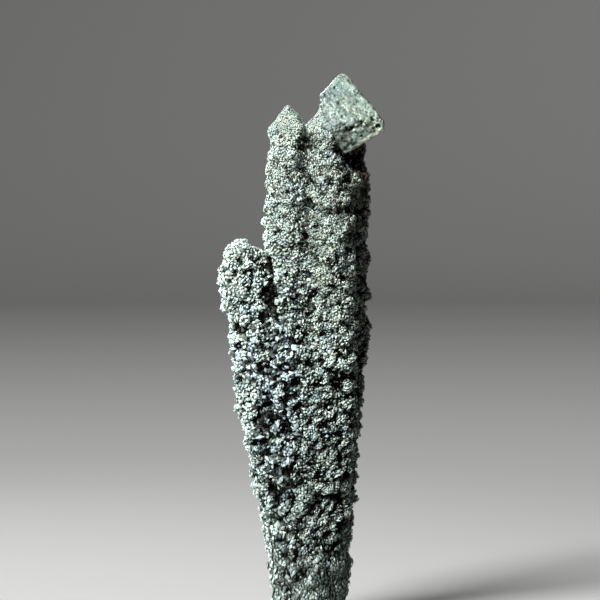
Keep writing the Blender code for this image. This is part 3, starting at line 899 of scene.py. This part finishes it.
def crystal_feet(mesh, openness, under_cap):
    """Where crystals grow: places, normals, openness and the room that each one has."""
    places, normals, openness = scattered_points(mesh, openness, under_cap, CANDIDATES)
    outside_cap = depth_in_crystal(places, CAP_CENTRE, CAP_FACETS) > 0.0
    free = (places[:, 2] > CLEAR_OF_FLOOR) & outside_cap
    places, normals, openness = pick(free, places, normals, openness)
    spacing = spacing_of(places)
    spacing = spacing * between(*SPREAD_OF_SIZES, rng.beta(*SPREAD_SHAPE, len(places)))
    spacing = spacing * (1.0 + KNOB_GAIN * on_knob(places)) * np.interp(places[:, 2], *FOOT_GAIN)
    larger = (rng.random(len(places)) < LARGER_SHARE) & (openness > LARGER_OPENNESS)
    spacing = np.where(larger, LARGER_BY * spacing, spacing)
    larger_first = np.argsort(~larger, kind="stable")
    feet = pick(larger_first, places, normals, openness, spacing)
    return pick(thinned(feet[0], feet[3]), *feet)


def turned_frames(normals, tilt, grain):
    """For each normal, three axes: a tilted growth direction and two across it.

    The first one across follows the grain, the more closely the longer the grain's vector is.
    """
    lean = TILT_SPREAD * np.tan(np.radians(tilt))[:, None]
    up = unit(normals + lean * rng.standard_normal(normals.shape))
    side = unit(np.cross(up, rng.standard_normal(normals.shape) + np.cross(grain, up)))
    return side, np.cross(up, side), up


def crystal_openness(openness, forms):
    """The crystals' openness, the painted shade, and which of them are dull."""
    count = len(openness)
    stray = rng.random(count) < STRAY_SHARE
    lowest, varies = STRAY_OPENNESS
    openness = np.where(stray, np.maximum(openness, lowest + varies * rng.random(count)), openness)
    evened = EVENED_TO[0] + EVENED_TO[1] * forms["right"]
    openness = between(openness, evened, EVENED_SHARE * forms["smooth"] * (openness > OPEN_FROM))
    dull = rng.random(count) < weighted(DULL_SHARE, forms)
    openness = np.where(dull, DULL_OPENNESS * openness, openness)
    at_foot = FOOT_EVENED * forms["foot"] * (openness > FOOT_OPEN_FROM)
    return between(openness, FOOT_OPENNESS, at_foot), dull


def crystal_colours(places, forms):
    """Each crystal's tone and hue: bluish on the middle of the body, and rusty on the flank, below
    the cap and where it is dull. On the flank and below the cap the rusty tint is dark: rust and
    painted shade. The tone also carries painted light and shade."""
    off_knob = 1.0 - forms["knob"]
    patchier = 1.0 + PATCHIER_WHEN_SMOOTH * forms["smooth"]
    forms = forms | {
        "tone varies": rng.random(len(places)),
        "patches": layered_noise(places, TONE_NOISE) * patchier,
        "shade": shading(places, SHADES),
        "hue varies": rng.random(len(places)) - 0.5,
        "hues": layered_noise(places, HUE_NOISE),
        "rightward": places[:, 0],
        "rusty flank": forms["rusty flank"] * off_knob,
        "rust and cap shadow": oval(places, *RUST_AND_CAP_SHADOW) * off_knob,
        "patch": oval(places, *RUSTY_PATCH),
        "blue": oval(places, *BLUE_MIDDLE),
    }
    return [np.clip(weighted(weights, forms), 0.0, 1.0) for weights in (TONE, HUE)]


def region_of(places):
    """The name of the druse piece that each place belongs to."""
    x, y, z = places.T
    rear = y > REAR_FROM_Y
    on_finger = z > FINGERS_FROM_Z
    names = np.full(len(places), "druse_body_front", object)
    names[rear] = "druse_body_back"
    names[on_finger & ~rear] = "druse_right_finger"
    names[on_finger & rear] = "druse_rear_ridge"
    names[on_finger & (x < MIDDLE_FINGER_TO_X)] = "druse_middle_finger"
    names[on_finger & (x < LEFT_FINGER_PIECE_TO_X)] = "druse_left_finger"
    names[z < FOOT_TO_Z] = "druse_foot"
    return names


OCTAHEDRON = np.array([(0, 0, 1), (1, 0, 0), (0, 1, 0), (-1, 0, 0), (0, -1, 0), (0, 0, -1)], float)
OCTAHEDRON_FACES = np.array(
    [(0, k, k % 4 + 1) for k in range(1, 5)] + [(5, k % 4 + 1, k) for k in range(1, 5)]
)
# The painted shade of its points, from its tip, painted as lit, to its foot, painted dark in the
# gap.
CRYSTAL_SHADE = np.array([1.0, 0.78, 0.78, 0.78, 0.78, 0.1])
# An octahedron unfolds into a square: the upper faces make its middle, the lower ones its corners.
FLAT_MIDDLE = (0.5, 0.5)
FLAT_RIM = [(1.0, 0.5), (0.5, 1.0), (0.0, 0.5), (0.5, 0.0)]
FLAT_CORNERS = [(1.0, 1.0), (0.0, 1.0), (0.0, 0.0), (1.0, 0.0)]
FLAT_FACES = np.array(
    [(FLAT_MIDDLE, FLAT_RIM[k], FLAT_RIM[(k + 1) % 4]) for k in range(4)]
    + [(FLAT_CORNERS[k], FLAT_RIM[(k + 1) % 4], FLAT_RIM[k]) for k in range(4)]
)
FLAT_MARGIN = 0.06


def unfold_crystals(mesh, count):
    """Give each crystal its own square of the map that an export's colours are drawn on."""
    across = math.ceil(math.sqrt(count))
    cell = np.stack([np.arange(count) % across, np.arange(count) // across], 1)
    flat = FLAT_MARGIN + (1.0 - 2.0 * FLAT_MARGIN) * FLAT_FACES.reshape(1, -1, 2)
    layer = mesh.uv_layers.new(name="OFBake")
    layer.data.foreach_set("uv", ((cell[:, None, :] + flat) / across).astype(np.float32).ravel())


def crystal_mesh(name, places, frames, sizes):
    """One mesh of small octahedral crystals, from their half sizes along each axis."""
    side, across, up = frames
    shape = OCTAHEDRON[None, :, :] * sizes[:, None, :]
    points = (
        places[:, None, :]
        + shape[:, :, 0:1] * side[:, None, :]
        + shape[:, :, 1:2] * across[:, None, :]
        + shape[:, :, 2:3] * up[:, None, :]
    )
    points[:, :, 2] = np.maximum(points[:, :, 2], 0.0)
    first = np.arange(len(places))[:, None, None] * len(OCTAHEDRON)
    faces = (first + OCTAHEDRON_FACES[None, :, :]).reshape(-1, 3)
    mesh = bpy.data.meshes.new(name)
    mesh.vertices.add(points.shape[0] * points.shape[1])
    mesh.vertices.foreach_set("co", (points * MM).astype(np.float32).ravel())
    mesh.loops.add(faces.size)
    mesh.loops.foreach_set("vertex_index", faces.astype(np.int32).ravel())
    mesh.polygons.add(len(faces))
    mesh.polygons.foreach_set("loop_start", np.arange(0, faces.size, 3, dtype=np.int32))
    mesh.update(calc_edges=True)
    unfold_crystals(mesh, len(places))
    return mesh


def grow_druse(mesh, openness, under_cap, material):
    """Scatter small crystals over the skin, one joined piece for each region."""
    places, normals, openness, spacing = crystal_feet(mesh, openness, under_cap)
    count = len(places)
    fine = fineness(places)
    forms = faded(places, DRUSE_FADES) | {
        "base": 1.0, "fine": fine, "mottled": mottling(places), "knob": on_knob(places),
    }
    forms["smooth"] *= 1.0 - fine
    widths = spacing * between(*CRYSTAL_WIDTH, rng.beta(*WIDTH_SHAPE, count))
    heights = spacing * between(*CRYSTAL_HEIGHT, rng.random(count))
    for name, lower in LOWER_WHERE.items():
        heights *= 1.0 - lower * forms[name]
    heights *= LOWER_RIGHTWARD[0] + LOWER_RIGHTWARD[1] * forms["right"]
    openness, forms["dull"] = crystal_openness(openness, forms)
    drawn = np.exp(LONGEST * rng.random(count))
    sizes = np.stack([widths * drawn, widths / drawn, heights], 1)
    tilt = CRYSTAL_TILT * (1.0 - weighted(LESS_TILT, forms))
    tilt *= 1.0 - LESS_TILT_SMOOTH * forms["smooth"]
    grain = sum(forms[name][:, None] * direction for name, direction in GRAINS.items())
    frames = turned_frames(normals, tilt, grain)
    tone, hue = crystal_colours(places, forms)
    even = EVENLY_SHADED * np.maximum(forms["smooth"], fine)
    cavity = openness[:, None] * between(CRYSTAL_SHADE, 1.0, even[:, None])
    names = region_of(places)
    for name in sorted(set(names)):
        own = names == name
        piece = crystal_mesh(name, places[own], pick(own, *frames), sizes[own])
        add_values(piece, "tone", np.repeat(tone[own], len(OCTAHEDRON)))
        add_values(piece, "cavity", cavity[own].ravel())
        add_values(piece, "hue", np.repeat(hue[own], len(OCTAHEDRON)))
        add_piece(name, piece, material, False)


# ---- materials ----

# Tints from bluish to rusty, by hue. The rusty end is also dark: painted shade on the right flank
# and under the cap.
TINTS = [
    (0.0, (0.84, 0.92, 1.12, 1.0)),
    (0.34, (0.94, 1.0, 1.0, 1.0)),
    (0.60, (1.0, 1.0, 0.94, 1.0)),
    (0.78, (1.02, 0.94, 0.80, 1.0)),
    (1.0, (0.26, 0.14, 0.09, 1.0)),
]
HOLLOW_TO, OPEN_ABOVE = 0.15, 0.58  # fully painted shade, as near-black metal, to here, and the crystal's own colour from here
SPECKLE_DETAIL = 3.0
BUMP_STRENGTH = 0.35
BUMP_HEIGHT = 0.02


def crystal_material(name, dark, dull, bright, roughness, gloss, metallic, grain):
    """Grey-green crystal, from each point's tone and hue, darkened to near-black metal by painted
    shade in the hollows.
    """
    material = bpy.data.materials.new(name)
    material.use_nodes = True
    nodes, links = material.node_tree.nodes, material.node_tree.links
    shader = nodes["Principled BSDF"]
    shader.inputs["Specular IOR Level"].default_value = gloss

    def attribute(of):
        node = nodes.new("ShaderNodeAttribute")
        node.attribute_name = of
        return node.outputs["Fac"]

    def colours(value, stops):
        node = nodes.new("ShaderNodeValToRGB")
        ramp = node.color_ramp.elements
        ramp[0].color, ramp[1].color = stops[0][1], stops[-1][1]
        for position, colour in stops[1:-1]:
            ramp.new(position).color = colour
        links.new(value, node.inputs["Fac"])
        return node.outputs["Color"]

    def brought(value, low_from=0.0, high_from=1.0, low_to=0.0, high_to=1.0):
        node = nodes.new("ShaderNodeMapRange")
        limits = {"From Min": low_from, "From Max": high_from, "To Min": low_to, "To Max": high_to}
        for socket, limit in limits.items():
            node.inputs[socket].default_value = limit
        links.new(value, node.inputs["Value"])
        return node.outputs["Result"]

    tinted = nodes.new("ShaderNodeMix")
    tinted.data_type = "RGBA"
    tinted.blend_type = "MULTIPLY"
    tinted.inputs["Factor"].default_value = 1.0
    links.new(colours(attribute("tone"), [(0.0, dull), (1.0, bright)]), tinted.inputs["A"])
    links.new(colours(attribute("hue"), TINTS), tinted.inputs["B"])
    openness = brought(attribute("cavity"), low_from=HOLLOW_TO, high_from=OPEN_ABOVE)
    shaded = nodes.new("ShaderNodeMix")
    shaded.data_type = "RGBA"
    shaded.inputs["A"].default_value = dark
    links.new(openness, shaded.inputs["Factor"])
    links.new(tinted.outputs["Result"], shaded.inputs["B"])
    links.new(shaded.outputs["Result"], shader.inputs["Base Color"])
    links.new(brought(openness, low_to=1.0, high_to=metallic), shader.inputs["Metallic"])

    speckle = nodes.new("ShaderNodeTexNoise")
    speckle.inputs["Scale"].default_value = grain
    speckle.inputs["Detail"].default_value = SPECKLE_DETAIL
    links.new(nodes.new("ShaderNodeTexCoord").outputs["Object"], speckle.inputs["Vector"])
    rough = brought(speckle.outputs["Fac"], low_to=roughness[0], high_to=roughness[1])
    links.new(rough, shader.inputs["Roughness"])
    relief = nodes.new("ShaderNodeBump")
    relief.inputs["Strength"].default_value = BUMP_STRENGTH
    relief.inputs["Distance"].default_value = BUMP_HEIGHT * MM
    links.new(speckle.outputs["Fac"], relief.inputs["Height"])
    links.new(relief.outputs["Normal"], shader.inputs["Normal"])
    return material


def floor_material():
    """Plain pale paper."""
    material = bpy.data.materials.new("pale_floor")
    material.use_nodes = True
    shader = material.node_tree.nodes["Principled BSDF"]
    shader.inputs["Base Color"].default_value = FLOOR_COLOUR
    shader.inputs["Roughness"].default_value = FLOOR_ROUGHNESS
    return material


# ---- stage ----

def look_at(obj, target):
    """Turn a camera or a light to face the target."""
    obj.rotation_euler = (target - obj.location).to_track_quat("-Z", "Y").to_euler()


def add_camera():
    """The photograph's view: nearly level with the cluster, and far enough to flatten it."""
    column = (PHOTO_SIZE / 2 - CENTRE_COLUMN) * MM_PER_PIXEL
    row = PHOTO_SIZE / 2 * MM_PER_PIXEL + FOOT_BELOW_EDGE
    target = Vector((column, 0.0, row)) * MM
    data = bpy.data.cameras.new("camera")
    data.sensor_width = SENSOR_WIDTH
    data.lens = SENSOR_WIDTH * CAMERA_AWAY / (PHOTO_SIZE * MM_PER_PIXEL)
    data.clip_start = NEAREST_SEEN * MM
    camera = add_object("camera", data)
    rise = math.radians(CAMERA_RISE)
    camera.location = target + Vector((0.0, -math.cos(rise), math.sin(rise))) * (CAMERA_AWAY * MM)
    look_at(camera, target)
    bpy.context.scene.camera = camera


def add_light(name, place, size, power, spread):
    """A square softbox facing the cluster."""
    data = bpy.data.lights.new(name, "AREA")
    data.size = size * MM
    data.energy = power
    data.spread = math.radians(spread)
    light = add_object(name, data)
    light.location = Vector(place) * MM
    look_at(light, Vector((0.0, 0.0, LIT_HEIGHT)) * MM)
    light.visible_camera = False


def add_floor():
    """A plain pale floor that curves up far away, turned from its profile."""
    curve = [
        (FLOOR_FLAT + FLOOR_CURVE * math.sin(turn), FLOOR_CURVE * (1.0 - math.cos(turn)))
        for turn in np.linspace(0.0, math.pi / 2, FLOOR_CURVE_POINTS)
    ]
    profile = [(0.0, 0.0)] + curve + [(FLOOR_FLAT + FLOOR_CURVE, FLOOR_HEIGHT)]
    mesh = bpy.data.meshes.new("floor")
    mesh.from_pydata(
        [(x * MM, 0.0, z * MM) for x, z in profile],
        [(k, k + 1) for k in range(len(profile) - 1)], [],
    )
    floor = add_object("floor", mesh)
    turn = floor.modifiers.new("turned", "SCREW")
    turn.steps = turn.render_steps = FLOOR_TURN_STEPS
    turn.use_merge_vertices = True
    turn.merge_threshold = FLOOR_MERGE * MM
    mesh.materials.append(floor_material())


def add_stage():
    """A pale floor, soft studio lights and a dim surround."""
    add_floor()
    for softbox in SOFTBOXES:
        add_light(*softbox)
    world = bpy.data.worlds.new("surround")
    world.use_nodes = True
    world.node_tree.nodes["Background"].inputs["Color"].default_value = SURROUND_COLOUR
    bpy.context.scene.world = world
    bpy.context.scene.view_settings.view_transform = "Standard"


# ---- the cluster ----

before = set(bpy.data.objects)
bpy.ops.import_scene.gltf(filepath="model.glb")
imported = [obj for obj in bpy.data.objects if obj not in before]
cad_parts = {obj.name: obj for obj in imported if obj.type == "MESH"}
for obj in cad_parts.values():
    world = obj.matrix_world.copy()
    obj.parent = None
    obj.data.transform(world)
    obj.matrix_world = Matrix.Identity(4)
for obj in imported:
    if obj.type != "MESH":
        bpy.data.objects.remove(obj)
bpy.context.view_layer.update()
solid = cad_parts[NODE]

add_camera()
add_stage()

druse = crystal_material(
    "druse_crystals", dark=(0.005, 0.005, 0.004, 1.0), dull=(0.20, 0.243, 0.216, 1.0),
    bright=(0.405, 0.483, 0.436, 1.0), roughness=(0.44, 0.62), gloss=0.35, metallic=0.05,
    grain=9000.0,
)
# The skin is painted near black: painted shade in the gaps between the crystals, deepest in the
# hollows.
gap_shade_skin = crystal_material(
    "druse_skin", dark=(0.010, 0.011, 0.009, 1.0), dull=(0.02, 0.024, 0.021, 1.0),
    bright=(0.05, 0.058, 0.05, 1.0), roughness=(0.5, 0.8), gloss=0.5, metallic=0.3, grain=5000.0,
)
cap_stone = crystal_material(
    "cap_crystal", dark=(0.008, 0.010, 0.008, 1.0), dull=(0.050, 0.066, 0.056, 1.0),
    bright=(0.20, 0.25, 0.22, 1.0), roughness=(0.45, 0.62), gloss=0.5, metallic=0.25, grain=6000.0,
)

skin, openness, on_floor, under_cap = skin_mesh(solid)
grow_druse(skin, openness, under_cap, druse)
set_points(skin, points_of(skin) - normals_of(skin) * SKIN_SUNK * (~on_floor)[:, None])
add_values(skin, "tone", openness)
add_values(skin, "cavity", openness)
add_values(skin, "hue", np.full(len(openness), 0.5))
add_piece("skin", skin, gap_shade_skin, True)
cap_crystal(cap_stone)
